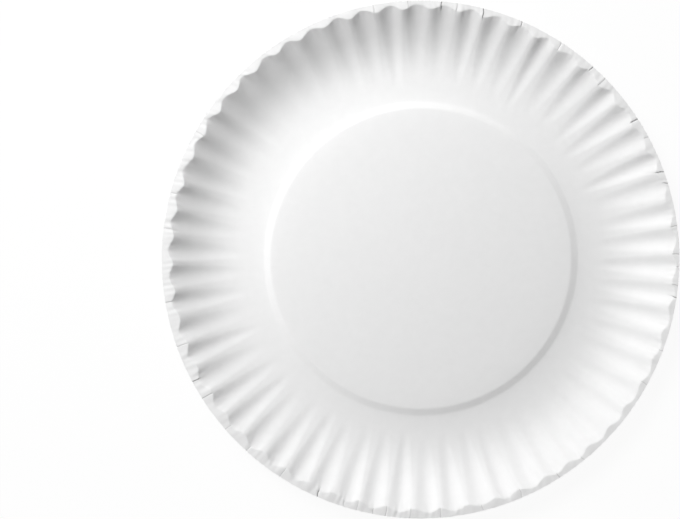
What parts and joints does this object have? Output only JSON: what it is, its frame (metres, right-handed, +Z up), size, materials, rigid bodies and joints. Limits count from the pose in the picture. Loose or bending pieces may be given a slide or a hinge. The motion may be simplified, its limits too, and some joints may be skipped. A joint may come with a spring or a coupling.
{
  "type": "paper plate",
  "caption": "Shallow round paper plate with a raised flat centre, a pressed ring, a sloping fluted wall and a narrow flat lip.",
  "frame": {"origin": "on the plate's axis, in the plane of the foot ring that it rests on", "axes": "+Z up out of the hollow side, along the plate's axis; +X through the middle of one flute's valley"},
  "size_m": [0.2286, 0.2286, 0.0135],
  "materials": {
    "board": "uncoated white paper board, matte, with a faint fibrous mottle"
  },
  "bodies": {
    "root": {"plate": "board"}
  },
  "joints": []
}
